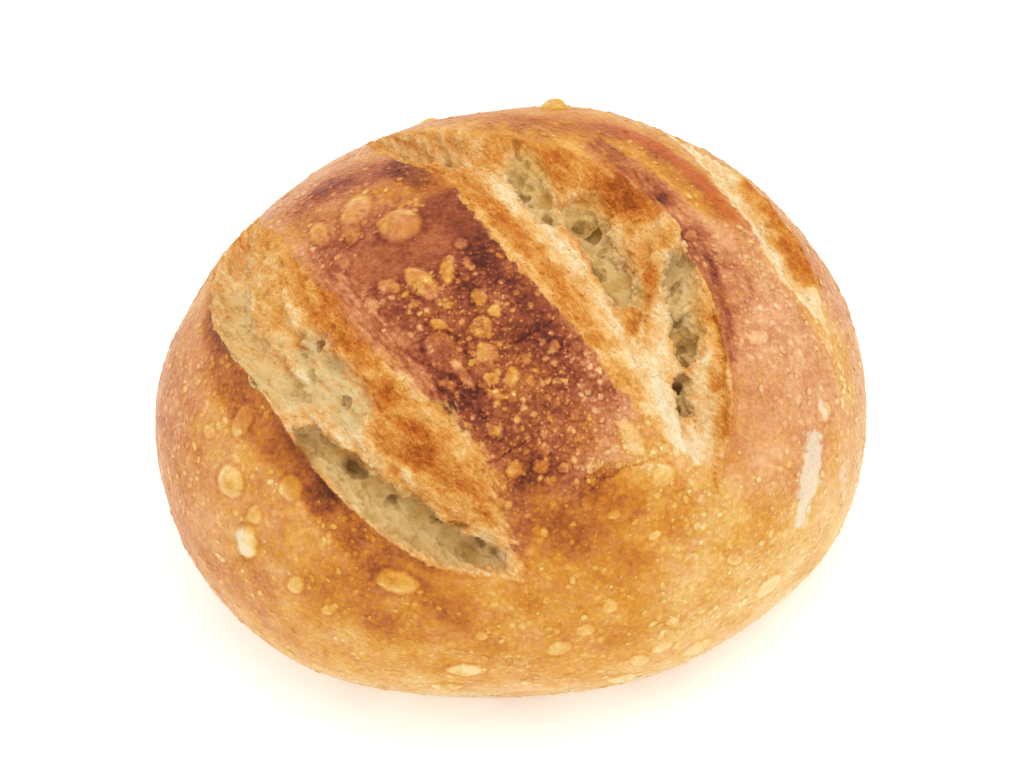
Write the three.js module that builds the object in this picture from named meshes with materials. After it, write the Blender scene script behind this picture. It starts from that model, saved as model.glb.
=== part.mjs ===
// A crusty bread roll, about 113 mm long, 102 mm wide and 62 mm high, baked loose on a flat tray.
// Three slashes were cut across the dough from the back left to the front right. Each has torn open
// in the oven: one edge stands up as a crust lip, the crumb drops away under it into open pockets,
// and a torn slope climbs back to the crust on the other side. Blisters dot the crust.
// Millimetres, +Z up. The flat base lies on z = 0, with the origin under the middle of the roll.

import * as THREE from "three";
import { mergeVertices } from "three/addons/utils/BufferGeometryUtils.js";

const DEG = Math.PI / 180;

// ---- Body: a low dome above the widest ring, a tucked-in heel below it, cut flat by the tray.
const RING_RADIUS = 53.7; // mean radius of the widest ring
const RING_HEIGHT = 25; // the widest ring above the tray
const CROWN_RISE = 37; // the crown above the widest ring
const CROWN_FULLNESS = 2.17; // 2 is an ellipse, more is fuller in the shoulders
const HEEL_FULLNESS = 2.46;
const HEEL_REACH = 1.4; // depth of the uncut heel, as a share of the ring's height
const CROWN_SHIFT = [-1.6, 2.0]; // the crown leans back and to the left
const OVAL = { share: 0.053, turn: 8 * DEG }; // longer than wide
const LOBES = { share: 0.025, turn: -39 * DEG }; // three slight corners left by the shaping
const SWELL = { height: 0.3, wavelength: 40, seed: 4.6 }; // slow lumps in the crust
const RELIEF_FADE = [1, 9]; // heights above the tray between which all relief comes in

// ---- Broad dents and bulges left by shaping and proving, placed as on a globe: east longitude
// from +X, latitude above the widest ring. reach is how far each spreads.
const DENT_FALL = 1.4; // how fast a dent dies away within its reach
const DENTS = [
  { lon: 88, lat: 38, reach: 14, height: -0.65 },
  { lon: 52, lat: 32, reach: 9, height: -0.55 },
  { lon: 110, lat: 34, reach: 9, height: -0.3 },
  { lon: 142, lat: 31, reach: 11, height: -0.45 },
  { lon: 164, lat: 23, reach: 11, height: -0.45 },
  { lon: 20, lat: 18, reach: 9, height: -0.3 },
  { lon: -96, lat: -32, reach: 14, height: -0.85 },
  { lon: -74, lat: -29, reach: 9, height: -0.2 },
  { lon: -50, lat: -32, reach: 10, height: -0.35 },
  { lon: -134, lat: -27, reach: 13, height: 0.3 },
  { lon: -8, lat: 0, reach: 14, height: -0.25 },
];

// ---- Slashes. Edges run from the back left to the front right, as [x, y] seen from above.
// lip is the side whose crust stands up. wall is the share of the width that the drop under it takes.
const SLASHES = [
  {
    west: [
      [-38.5, 28], [-43.8, 17], [-45.6, 7], [-44.5, -2.5], [-38, -16.8], [-31, -29.8], [-23, -38.8],
      [-13.6, -44.2], [-2.2, -46.5],
    ],
    east: [
      [-38.5, 28], [-35.5, 16], [-31.4, 6.8], [-26.8, -2], [-21.8, -12.4], [-15.2, -21.7], [-8.4, -28],
      [-5.3, -35.1], [-3, -41.5], [-2.2, -46.5],
    ],
    lip: "west", depth: 3.4, wall: 0.16, ear: 1.2, earWidth: 4.5,
  },
  {
    west: [
      [-20, 43], [-17.8, 31], [-13, 22.5], [-7.7, 17.6], [-3.5, 7.5], [1.4, -2.5], [8.3, -13.1],
      [16, -25.8], [21.5, -32], [29, -35.5],
    ],
    east: [
      [-20, 43], [-13.4, 37], [-1, 29], [9, 22.6], [17.3, 17.8], [23.5, 11.5], [28.9, -1], [32, -14],
      [32, -25.5], [29, -35.5],
    ],
    lip: "east", depth: 4.2, wall: 0.34, ear: 1.1, earWidth: 3.5,
  },
  {
    west: [[26, 40], [31, 27.8], [35, 18.3], [39.4, 8.2], [42.6, 0.3], [46.7, -5.7], [49.8, -7.6]],
    east: [[26, 40], [33.4, 27.4], [39.4, 21.8], [43.7, 14.3], [47.2, 5.4], [48.7, -3.8], [49.8, -7.6]],
    lip: "east", depth: 1.7, wall: 0.36, ear: 1.2, earWidth: 3,
  },
];
const FULL_DEPTH_WIDTH = 9; // a slash narrower than this is shallower, so that its ends run out
const SLOPE_BOW = 1.2; // over 1 the torn slope bows out on its way up from the pockets

// ---- Pockets where the crumb tore deeper. The last one rises instead: a tongue of crust that
// stands between two pockets of the middle slash.
const POCKET_FLOOR = 0.4; // share of a pocket's reach that is at full depth
const POCKET_START = [0.2, 1.4]; // depth inside a slash's edge over which its pockets come in
const POCKETS = [
  {
    path: [[-33.2, -25.4], [-29.8, -30.6], [-25.4, -34.4], [-19.8, -38.6], [-13.2, -41.8], [-7, -44]],
    reach: 4.2, depth: 2.8,
  },
  { path: [[-43.2, 9], [-42.2, -1.5], [-38.6, -10], [-35, -16]], reach: 3, depth: 0.7 },
  { path: [[4, 23.5], [6.4, 18.5], [8.6, 14], [10.4, 9.5]], reach: 3.3, depth: 2 },
  { path: [[14.4, 11], [16.8, 4.2], [18.5, -2.3], [19.9, -7.8]], reach: 4, depth: 2.8 },
  { path: [[27, -3], [27.5, -9.5], [27.8, -14], [27.8, -18]], reach: 2.1, depth: 3 },
  { path: [[26.8, -22.3], [26.6, -26.5]], reach: 1.7, depth: 2.4 },
  { path: [[26.2, 5], [25, -0.5], [22.6, -6.5], [19.6, -12.3]], reach: 2.2, depth: -1.8 },
];

// ---- Torn crumb: crags on everything inside a slash.
const CRAGS = { height: 0.42, wavelength: 5.2, seed: 3, fadeIn: 2.5 };

// ---- Large blisters, placed as the dents are.
// across and along are half sizes, turn is how far across points up from east.
const BLISTER_TOP = 0.15; // share of a blister that is at full height
const BLISTER_FOOT = 1.08; // where its side meets the crust
const BLISTERS = [
  { lon: 158, lat: 75, across: 3.8, along: 3.8, turn: 20, height: 1.3 },
  { lon: -146, lat: 77, across: 3.8, along: 2.0, turn: 0, height: 0.9 },
  { lon: -113, lat: 66, across: 4.0, along: 2.7, turn: -42, height: 0.8 },
  { lon: 150, lat: 65, across: 4.0, along: 2.6, turn: 10, height: 0.6 },
  { lon: -149, lat: 29, across: 2.8, along: 2.7, turn: 0, height: 0.9 },
  { lon: -137, lat: 35, across: 2.2, along: 2.0, turn: 70, height: 0.7 },
  { lon: -142, lat: 19, across: 2.0, along: 3.0, turn: 10, height: 0.9 },
  { lon: -154, lat: 40, across: 1.9, along: 2.8, turn: 15, height: 0.8 },
  { lon: -114, lat: 21, across: 3.7, along: 2.1, turn: -10, height: 0.9 },
  { lon: -104, lat: -8, across: 2.9, along: 1.9, turn: 0, height: 0.8 },
  { lon: -70, lat: 35, across: 4.6, along: 3.7, turn: 30, height: 0.9 },
  { lon: -62, lat: 45, across: 1.9, along: 4.2, turn: 10, height: 0.8 },
  { lon: -60, lat: 36, across: 2.2, along: 2.0, turn: 0, height: 0.7 },
  { lon: 72, lat: 42, across: 2.8, along: 2.4, turn: 0, height: 1.5 },
  { lon: -12, lat: 50, across: 3.8, along: 3.0, turn: 0, height: 0.6 },
  { lon: 100, lat: 26, across: 3.4, along: 2.6, turn: 30, height: 1.0 },
  { lon: 38, lat: 14, across: 3.0, along: 2.4, turn: -20, height: 0.9 },
  { lon: 132, lat: 10, across: 2.6, along: 3.1, turn: 15, height: 0.9 },
];

// ---- Mesh: an evenly divided ball, divided again where the shape needs it.
const BALL_DETAIL = 14;
const EDGE_SAMPLES = 48; // points along each slash edge and pocket path
const SLASH_MARGIN = 3; // crust beside a slash that is divided once
const FINE_REACH = 1.6; // either side of a lip or round a pocket that is divided twice
const BLISTER_MARGIN = 1.25; // share of a blister's size within which it is divided once
const RIM_BAND = 2.2; // height above the tray that is divided once

const clamp = (v, low, high) => Math.min(high, Math.max(low, v));
function smoothstep(low, high, v) {
  const t = clamp((v - low) / (high - low), 0, 1);
  return t * t * (3 - 2 * t);
}

// Uneven waves of about the given wavelength: sines along directions spread round a ball.
const WAVES = 9;
const GOLDEN_TURN = Math.PI * (3 - Math.sqrt(5));
function ripple(p, wavelength, seed) {
  let sum = 0;
  for (let i = 0; i < WAVES; i++) {
    const rise = 1 - (2 * i + 1) / WAVES;
    const flat = Math.sqrt(1 - rise * rise);
    const turn = GOLDEN_TURN * i + seed;
    const along = p.x * flat * Math.cos(turn) + p.y * flat * Math.sin(turn) + p.z * rise;
    const stretch = 0.75 + 0.5 * ((i * 0.618) % 1);
    sum += Math.sin((2 * Math.PI * along) / (wavelength * stretch) + seed * (i + 1) * 2.4);
  }
  return sum / Math.sqrt(WAVES);
}

// ---- Plain body

function ringRadius(lon) {
  const oval = OVAL.share * Math.cos(2 * (lon - OVAL.turn));
  const lobes = LOBES.share * Math.cos(3 * (lon - LOBES.turn));
  return RING_RADIUS * (1 + oval + lobes);
}

// The body's surface at a longitude and latitude.
function bodyPoint(lon, lat) {
  const out = Math.abs(Math.cos(lat));
  const up = Math.abs(Math.sin(lat));
  const fullness = lat >= 0 ? CROWN_FULLNESS : HEEL_FULLNESS;
  const scale = (out ** fullness + up ** fullness) ** (-1 / fullness);
  const radius = out * scale * ringRadius(lon);
  const rise = lat >= 0 ? up * scale * CROWN_RISE : -up * scale * RING_HEIGHT * HEEL_REACH;
  const lean = Math.max(rise, 0) / CROWN_RISE;
  return new THREE.Vector3(
    radius * Math.cos(lon) + CROWN_SHIFT[0] * lean,
    radius * Math.sin(lon) + CROWN_SHIFT[1] * lean,
    Math.max(RING_HEIGHT + rise, 0),
  );
}

const bodyPointAlong = (d) => bodyPoint(Math.atan2(d.y, d.x), Math.asin(clamp(d.z, -1, 1)));

// The point of the upper crust above [x, y].
function crownPoint([x, y]) {
  let rise = CROWN_RISE / 2;
  for (let i = 0; i < 8; i++) {
    const lean = rise / CROWN_RISE;
    const dx = x - CROWN_SHIFT[0] * lean;
    const dy = y - CROWN_SHIFT[1] * lean;
    const share = Math.min(Math.hypot(dx, dy) / ringRadius(Math.atan2(dy, dx)), 1);
    rise = CROWN_RISE * (1 - share ** CROWN_FULLNESS) ** (1 / CROWN_FULLNESS);
  }
  return new THREE.Vector3(x, y, RING_HEIGHT + rise);
}

// ---- Distances to slashes and pockets

function line(points) {
  return new THREE.CatmullRomCurve3(points.map(crownPoint)).getSpacedPoints(EDGE_SAMPLES);
}

const nearest = new THREE.Vector3();
const segment = new THREE.Line3();

// Distance from p to a line of points, negative on the right-hand side of its way.
function signedDistance(p, points) {
  let best = Infinity;
  let side = 1;
  for (let i = 0; i + 1 < points.length; i++) {
    segment.set(points[i], points[i + 1]).closestPointToPoint(p, true, nearest);
    const gap = nearest.distanceTo(p);
    if (gap < best) {
      best = gap;
      const [a, b] = [points[i], points[i + 1]];
      side = (b.x - a.x) * (p.y - a.y) - (b.y - a.y) * (p.x - a.x) < 0 ? -1 : 1;
    }
  }
  return side * best;
}

const slashes = SLASHES.map((s) => ({ ...s, west: line(s.west), east: line(s.east) }));
const pockets = POCKETS.map((s) => ({ ...s, path: line(s.path) }));
const dents = DENTS.map((d) => ({ ...d, centre: bodyPoint(d.lon * DEG, d.lat * DEG) }));

// A blister with its middle and its two directions along the crust, across and along.
const STEP = 0.001;
const blisters = BLISTERS.map((b) => {
  const [lon, lat, turn] = [b.lon * DEG, b.lat * DEG, b.turn * DEG];
  const east = bodyPoint(lon + STEP, lat).sub(bodyPoint(lon - STEP, lat)).normalize();
  const north = bodyPoint(lon, lat + STEP).sub(bodyPoint(lon, lat - STEP)).normalize();
  const acrossWay = east.clone().multiplyScalar(Math.cos(turn)).addScaledVector(north, Math.sin(turn));
  const alongWay = north.multiplyScalar(Math.cos(turn)).addScaledVector(east, -Math.sin(turn));
  return { ...b, centre: bodyPoint(lon, lat), acrossWay, alongWay };
});

// How far p lies inside a slash from its lip and from its other edge; negative outside.
function insideSlash(slash, p) {
  const fromWest = signedDistance(p, slash.west);
  const fromEast = -signedDistance(p, slash.east);
  return slash.lip === "west" ? [fromWest, fromEast] : [fromEast, fromWest];
}

// ---- Relief, as a height along the body's outward direction

function slashRelief(slash, p) {
  if (p.z < RING_HEIGHT) return 0;
  const [fromLip, fromSkin] = insideSlash(slash, p);
  const width = fromLip + fromSkin;
  if (fromLip < 0) {
    const close = Math.max(1 + fromLip / slash.earWidth, 0);
    return slash.ear * close * close * smoothstep(0, FULL_DEPTH_WIDTH, fromSkin + fromLip);
  }
  if (fromSkin < 0) return 0;
  const share = fromLip / width;
  const drop = smoothstep(0, slash.wall, share);
  const climb = 1 - smoothstep(slash.wall, 1, share) ** SLOPE_BOW;
  const fadeIn = smoothstep(0, CRAGS.fadeIn, Math.min(fromLip, fromSkin));
  const crags = CRAGS.height * ripple(p, CRAGS.wavelength, CRAGS.seed) * fadeIn;
  const ear = slash.ear * (1 - drop);
  return (ear - slash.depth * drop * climb) * smoothstep(0, FULL_DEPTH_WIDTH, width) + crags;
}

function pocketRelief(pocket, p) {
  const gap = Math.abs(signedDistance(p, pocket.path));
  return -pocket.depth * (1 - smoothstep(pocket.reach * POCKET_FLOOR, pocket.reach, gap));
}

function blisterRelief(blister, p) {
  const offset = p.clone().sub(blister.centre);
  const across = offset.dot(blister.acrossWay);
  const along = offset.dot(blister.alongWay);
  const sunk = Math.max(offset.lengthSq() - across ** 2 - along ** 2, 0);
  const flat = (across / blister.across) ** 2 + (along / blister.along) ** 2;
  const share = Math.sqrt(flat + sunk / Math.max(blister.across, blister.along) ** 2);
  return blister.height * (1 - smoothstep(BLISTER_TOP, BLISTER_FOOT, share));
}

function dentRelief(dent, p) {
  const share = dent.centre.distanceTo(p) / dent.reach;
  return dent.height * Math.exp(-DENT_FALL * share ** 2);
}

function relief(p) {
  let height = SWELL.height * ripple(p, SWELL.wavelength, SWELL.seed);
  for (const dent of dents) height += dentRelief(dent, p);
  for (const slash of slashes) height += slashRelief(slash, p);
  const inside = Math.max(...slashes.map((slash) => Math.min(...insideSlash(slash, p))));
  const open = smoothstep(...POCKET_START, inside);
  for (const pocket of pockets) height += open * pocketRelief(pocket, p);
  for (const blister of blisters) height += blisterRelief(blister, p);
  return height * smoothstep(...RELIEF_FADE, p.z);
}

// ---- Mesh

// Splits every edge that the test wants split, and closes up the triangles beside it.
function divide(ball, wanted) {
  const points = ball.points.slice();
  const faces = [];
  const middles = new Map();
  const keyOf = (a, b) => (a < b ? a + "_" + b : b + "_" + a);
  for (const face of ball.faces) {
    if (!wanted(face.map((i) => bodyPointAlong(points[i])))) continue;
    for (let k = 0; k < 3; k++) {
      const [a, b] = [face[k], face[(k + 1) % 3]];
      if (middles.has(keyOf(a, b))) continue;
      middles.set(keyOf(a, b), points.length);
      points.push(points[a].clone().add(points[b]).normalize());
    }
  }
  for (const [a, b, c] of ball.faces) {
    const [ab, bc, ca] = [[a, b], [b, c], [c, a]].map(([i, j]) => middles.get(keyOf(i, j)));
    const found = [ab, bc, ca].filter((m) => m !== undefined).length;
    if (found === 0) faces.push([a, b, c]);
    else if (found === 3) faces.push([a, ab, ca], [ab, b, bc], [ca, bc, c], [ab, bc, ca]);
    else {
      // Turn the triangle so that its first edge is split, and its last edge isn't.
      let [p, q, r, pq, qr] = [a, b, c, ab, bc];
      if (pq === undefined || ca !== undefined) [p, q, r, pq, qr] = [b, c, a, bc, ca];
      if (pq === undefined || (qr === undefined && found === 2)) [p, q, r, pq, qr] = [c, a, b, ca, ab];
      if (qr === undefined) faces.push([p, pq, r], [pq, q, r]);
      else faces.push([p, pq, r], [pq, q, qr], [pq, qr, r]);
    }
  }
  return { points, faces };
}

function evenBall() {
  const source = new THREE.IcosahedronGeometry(1, BALL_DETAIL);
  source.deleteAttribute("normal");
  source.deleteAttribute("uv");
  const merged = mergeVertices(source, 1e-5);
  const points = [];
  const position = merged.attributes.position;
  for (let i = 0; i < position.count; i++)
    points.push(new THREE.Vector3().fromBufferAttribute(position, i).normalize());
  const faces = [];
  for (let i = 0; i < merged.index.count; i += 3) faces.push([...merged.index.array.slice(i, i + 3)]);
  return { points, faces };
}

const middleOf = ([a, b, c]) => a.clone().add(b).add(c).divideScalar(3);

function needsFirstCut(corners) {
  const p = middleOf(corners);
  if (corners.some((c) => c.z > 0) && p.z < RIM_BAND) return true;
  const reach = (b) => Math.max(b.across, b.along) * BLISTER_MARGIN;
  if (blisters.some((b) => b.centre.distanceTo(p) < reach(b))) return true;
  return p.z > RING_HEIGHT && slashes.some((s) => Math.min(...insideSlash(s, p)) > -SLASH_MARGIN);
}

function needsSecondCut(corners) {
  const p = middleOf(corners);
  if (p.z < RING_HEIGHT) return false;
  const nearLip = slashes.some((s) => {
    const [fromLip, fromSkin] = insideSlash(s, p);
    return Math.abs(fromLip) < FINE_REACH && fromSkin > -FINE_REACH;
  });
  return nearLip || pockets.some((s) => Math.abs(signedDistance(p, s.path)) < s.reach + FINE_REACH);
}

function geometryOf({ points, faces }) {
  const geometry = new THREE.BufferGeometry();
  const flat = points.flatMap((p) => [p.x, p.y, p.z]);
  geometry.setAttribute("position", new THREE.Float32BufferAttribute(flat, 3));
  geometry.setIndex(faces.flat());
  geometry.computeVertexNormals();
  return geometry;
}

function breadRoll() {
  let ball = evenBall();
  ball = divide(ball, needsFirstCut);
  ball = divide(ball, needsSecondCut);
  const body = ball.points.map(bodyPointAlong);
  const outward = geometryOf({ points: body, faces: ball.faces }).attributes.normal;
  const points = body.map((p, i) => {
    const normal = new THREE.Vector3().fromBufferAttribute(outward, i);
    const moved = p.clone().addScaledVector(normal, relief(p));
    return moved.setZ(p.z > 0 ? Math.max(moved.z, 0) : 0);
  });
  const geometry = geometryOf({ points, faces: ball.faces });
  geometry.computeBoundingBox();
  const middle = geometry.boundingBox.getCenter(new THREE.Vector3());
  return geometry.translate(-middle.x, -middle.y, 0);
}

const crust = new THREE.MeshStandardMaterial({ color: 0xd9a05b, roughness: 0.7, metalness: 0 });
const mesh = new THREE.Mesh(breadRoll(), crust);
mesh.name = "bread_roll";

const group = new THREE.Group();
group.add(mesh);

export default group;
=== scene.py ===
import math

import bmesh
import bpy
import numpy as np
from mathutils import Matrix, Vector, noise


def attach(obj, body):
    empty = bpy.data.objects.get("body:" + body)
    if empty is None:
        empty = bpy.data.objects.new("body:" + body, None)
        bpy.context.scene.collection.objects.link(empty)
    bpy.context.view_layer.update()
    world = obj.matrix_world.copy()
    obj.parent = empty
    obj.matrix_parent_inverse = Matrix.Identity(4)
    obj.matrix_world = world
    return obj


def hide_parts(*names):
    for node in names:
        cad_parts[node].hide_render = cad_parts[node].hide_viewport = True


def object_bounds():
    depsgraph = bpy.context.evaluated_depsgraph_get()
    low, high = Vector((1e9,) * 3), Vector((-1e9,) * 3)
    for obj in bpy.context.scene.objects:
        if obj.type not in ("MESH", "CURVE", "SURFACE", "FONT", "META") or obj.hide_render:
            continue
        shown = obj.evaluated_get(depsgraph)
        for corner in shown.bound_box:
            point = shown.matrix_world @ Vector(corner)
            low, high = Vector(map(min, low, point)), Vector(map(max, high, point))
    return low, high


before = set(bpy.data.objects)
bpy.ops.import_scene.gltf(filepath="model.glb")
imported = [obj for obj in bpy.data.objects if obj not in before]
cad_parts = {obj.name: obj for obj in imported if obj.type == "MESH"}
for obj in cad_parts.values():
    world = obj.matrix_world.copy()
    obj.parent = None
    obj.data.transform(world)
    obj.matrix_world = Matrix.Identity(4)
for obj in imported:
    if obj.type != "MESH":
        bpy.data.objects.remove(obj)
cad_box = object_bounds()

# ---- The round of dough
# One piece of wheat dough, shaped round by hand and baked loose on a flat tray: a low dome above its
# widest ring, a tucked-in heel and a flat underside. Places are [x, y, z] in millimetres from the
# centre of the ring's shadow on the tray, until the mesh is made.
ring_radius, ring_height, crown_rise = 53.7, 25.0, 37.0
crown_fullness, heel_fullness, heel_reach = 2.17, 2.46, 1.4
crown_shift = np.array([-1.6, 2.0])
oval_share, oval_turn = 0.053, math.radians(8)
lobe_share, lobe_turn = 0.025, math.radians(-39)
swell_height, swell_wavelength, swell_seed, swell_waves = 0.3, 40.0, 4.6, 9
relief_fade = (1.0, 9.0)  # heights above the tray between which all relief comes in
dent_fall = 1.4
dents = [  # lon, lat, reach, height
    (88, 38, 14, -0.65), (52, 32, 9, -0.55), (110, 34, 9, -0.3), (142, 31, 11, -0.45), (164, 23, 11, -0.45),
    (20, 18, 9, -0.3), (-96, -32, 14, -0.85), (-74, -29, 9, -0.2), (-50, -32, 10, -0.35),
    (-134, -27, 13, 0.3), (-8, 0, 14, -0.25),
]


def ease(low, high, value):
    t = np.clip((value - low) / (high - low), 0, 1)
    return t * t * (3 - 2 * t)


def ring_at(lon):
    oval = oval_share * np.cos(2 * (lon - oval_turn))
    lobes = lobe_share * np.cos(3 * (lon - lobe_turn))
    return ring_radius * (1 + oval + lobes)


def body_at(lon, lat):
    """The plain body's surface, for arrays of longitudes from +X and latitudes above the ring."""
    out, up, above = np.abs(np.cos(lat)), np.abs(np.sin(lat)), lat >= 0
    fullness = np.where(above, crown_fullness, heel_fullness)
    scale = (out**fullness + up**fullness) ** (-1 / fullness)
    radius = out * scale * ring_at(lon)
    rise = np.where(above, up * scale * crown_rise, -up * scale * ring_height * heel_reach)
    lean = np.maximum(rise, 0) / crown_rise
    x = radius * np.cos(lon) + crown_shift[0] * lean
    y = radius * np.sin(lon) + crown_shift[1] * lean
    return np.stack([x, y, np.maximum(ring_height + rise, 0)], axis=-1)


def crown_at(xy):
    """The points of the plain upper crust above an array of [x, y]."""
    xy = np.asarray(xy, float)
    rise = np.full(len(xy), crown_rise / 2)
    for _ in range(8):
        off = xy - crown_shift * (rise / crown_rise)[:, None]
        share = np.hypot(*off.T) / ring_at(np.arctan2(off[:, 1], off[:, 0]))
        rise = crown_rise * (1 - np.minimum(share, 1) ** crown_fullness) ** (1 / crown_fullness)
    return np.column_stack([xy, ring_height + rise])


def swell(points):
    """Slow lumps: sines along directions spread round a ball."""
    total = np.zeros(len(points))
    for i in range(swell_waves):
        rise = 1 - (2 * i + 1) / swell_waves
        flat = math.sqrt(1 - rise * rise)
        turn = math.pi * (3 - math.sqrt(5)) * i + swell_seed
        along = points @ np.array([flat * math.cos(turn), flat * math.sin(turn), rise])
        stretch = 0.75 + 0.5 * ((i * 0.618) % 1)
        phase = swell_seed * (i + 1) * 2.4
        total += np.sin(2 * math.pi * along / (swell_wavelength * stretch) + phase)
    return swell_height * total / math.sqrt(swell_waves)


def near_spot(points, lon, lat, reach):
    """1 at a place on the body, falling to 0 at its reach."""
    place = body_at(math.radians(lon), math.radians(lat))
    return 1 - ease(0, reach, np.linalg.norm(points - place, axis=1))


def patched(points, patches):
    """The sum of round patches, each times its amount."""
    return sum(amount * near_spot(points, lon, lat, reach) for lon, lat, reach, amount in patches)


def dented(points):
    """How far the dents and the few bulges move points out."""
    height = np.zeros(len(points))
    for lon, lat, reach, depth in dents:
        gap = np.linalg.norm(points - body_at(math.radians(lon), math.radians(lat)), axis=1)
        height += depth * np.exp(-dent_fall * (gap / reach) ** 2)
    return height


# ---- The slashes
# Three cuts made with a blade from the back left to the front right, torn open in the oven: the crust
# on one side stands up as a lip, the crumb drops away under it into pockets, and a torn slope climbs
# back to the skin on the other side.
full_depth_width, slope_bow, skin_step = 9.0, 1.2, 0.35
edge_band, slash_reach, far_outside = 0.9, 8.0, -6.0
rag_height, clean_rag_height, rag_size, rag_seeds = 0.7, 0.2, 2.4, (11.3, 27.9, 43.1)
back_span = (-6.0, 14.0)  # y between which a slash's front turns into its back
slashes = [  # wall is a share of the width, fade the ear's loss at the back, fray at the back and front
    {"west": [(-38.5, 28), (-43.8, 17), (-45.6, 7), (-44.5, -2.5), (-38, -16.8), (-31, -29.8),
              (-23, -38.8), (-13.6, -44.2), (-2.2, -46.5)],
     "east": [(-38.5, 28), (-35.5, 16), (-31.4, 6.8), (-26.8, -2), (-21.8, -12.4), (-15.2, -21.7),
              (-8.4, -28), (-5.3, -35.1), (-3, -41.5), (-2.2, -46.5)],
     "lip": "west", "depth": 3.4, "wall": 0.16, "ear": 1.2, "ear_width": 4.5, "curl": 0.7, "fade": 0,
     "lip_fray": (0.5, 0.35), "skin_fray": (2.2, 2.4)},
    {"west": [(-20, 43), (-17.8, 31), (-13, 22.5), (-7.7, 17.6), (-3.5, 7.5), (1.4, -2.5),
              (8.3, -13.1), (16, -25.8), (21.5, -32), (29, -35.5)],
     "east": [(-20, 43), (-13.4, 37), (-1, 29), (9, 22.6), (17.3, 17.8), (23.5, 11.5),
              (28.9, -1), (32, -14), (32, -25.5), (29, -35.5)],
     "lip": "east", "depth": 4.2, "wall": 0.34, "ear": 1.1, "ear_width": 3.5, "curl": 0.9, "fade": 0.9,
     "lip_fray": (2.4, 0.3), "skin_fray": (1, 0.8)},
    {"west": [(26, 40), (31, 27.8), (35, 18.3), (39.4, 8.2), (42.6, 0.3), (46.7, -5.7), (49.8, -7.6)],
     "east": [(26, 40), (33.4, 27.4), (39.4, 21.8), (43.7, 14.3), (47.2, 5.4), (48.7, -3.8),
              (49.8, -7.6)],
     "lip": "east", "depth": 1.7, "wall": 0.36, "ear": 1.2, "ear_width": 3, "curl": 0, "fade": 0,
     "lip_fray": (0.4, 0.4), "skin_fray": (1.5, 1.5)},
]
pocket_floor = 0.4
pockets = [  # path, reach, depth; the last one rises as a tongue between two pockets
    ([(-33.2, -25.4), (-29.8, -30.2), (-25.2, -33.8), (-19.6, -38.2), (-13.4, -42.5), (-7.2, -45.2)],
     4.2, 2.8),
    ([(-43.2, 9), (-42.2, -1.5), (-38.6, -10), (-35, -16)], 3, 0.7),
    ([(5.2, 21.8), (7, 16.2), (8.9, 10.8)], 3.3, 2),
    ([(14.4, 11), (16.8, 4.2), (18.5, -2.3), (19.9, -7.8)], 4, 2.8),
    ([(27, -3), (27.5, -9.5), (27.8, -14), (27.8, -18)], 2.1, 3), ([(26.8, -22.3), (26.6, -26.5)], 1.7, 2.4),
    ([(26.2, 5), (25, -0.5), (22.6, -6.5), (19.6, -12.3)], 2.2, -1.8),
]


def path_over(corners, steps=7):
    """A smooth path through the corners, laid on the upper crust."""
    corners = np.asarray(corners, float)
    ends = [2 * corners[0] - corners[1]], [2 * corners[-1] - corners[-2]]
    held = np.concatenate([ends[0], corners, ends[1]])
    t = np.linspace(0, 1, steps, endpoint=False)[:, None]
    spans = [
        0.5 * (2 * b + (c - a) * t + (2 * a - 5 * b + 4 * c - d) * t**2 + (3 * b - a - 3 * c + d) * t**3)
        for a, b, c, d in zip(held, held[1:], held[2:], held[3:])
    ]
    return crown_at(np.concatenate([*spans, corners[-1:]]))


def beside(points, path):
    """Each point's distance from a path, positive on its left, and the way out from the path to it."""
    best, side = np.full(len(points), np.inf), np.ones(len(points))
    way = np.zeros((len(points), 3))
    for start, step in zip(path, np.diff(path, axis=0)):
        share = np.clip((points - start) @ step / (step @ step), 0, 1)
        off = points - start - share[:, None] * step
        gap = np.linalg.norm(off, axis=1)
        near = gap < best
        best[near] = gap[near]
        side[near] = np.where(step[0] * off[near, 1] - step[1] * off[near, 0] < 0, -1, 1)
        way[near] = np.array([-step[1], step[0], 0]) / math.hypot(step[0], step[1])
    return side * best, way


def stroke(points, corners, reach, hold=0.35):
    """1 along a path over the crown, falling to 0 at its reach."""
    path = path_over(corners, 4)
    boxed = (points > path.min(axis=0) - reach) & (points < path.max(axis=0) + reach)
    close = np.nonzero(boxed.all(axis=1))[0]
    share = np.zeros(len(points))
    share[close] = 1 - ease(reach * hold, reach, np.abs(beside(points[close], path)[0]))
    return share


def laid(points, strokes):
    """The sum of strokes, each times its amount."""
    return sum(amount * stroke(points, corners, reach) for corners, reach, amount in strokes)


def covered(points, strokes, hold):
    """The strongest of strokes, each times its amount."""
    found = [amount * stroke(points, corners, reach, hold) for corners, reach, amount in strokes]
    return np.max(found, axis=0)


for slash in slashes:
    slash["west"], slash["east"] = path_over(slash["west"]), path_over(slash["east"])


def inside(slash, points):
    """How far points lie inside a slash from its lip and its skin edge, and the way in from the lip."""
    from_west, way_east = beside(points, slash["west"])
    from_east, _ = beside(points, slash["east"])
    if slash["lip"] == "west":
        return from_west, -from_east, way_east
    return -from_east, from_west, -way_east


def grain(points, size, octaves=3, seed=0):
    """Fractal noise of about -1 to 1 whose largest lumps are size across."""
    at = points / size + seed
    return np.array([noise.fractal(p, 1.0, 2.0, octaves) for p in at.tolist()])


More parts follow.
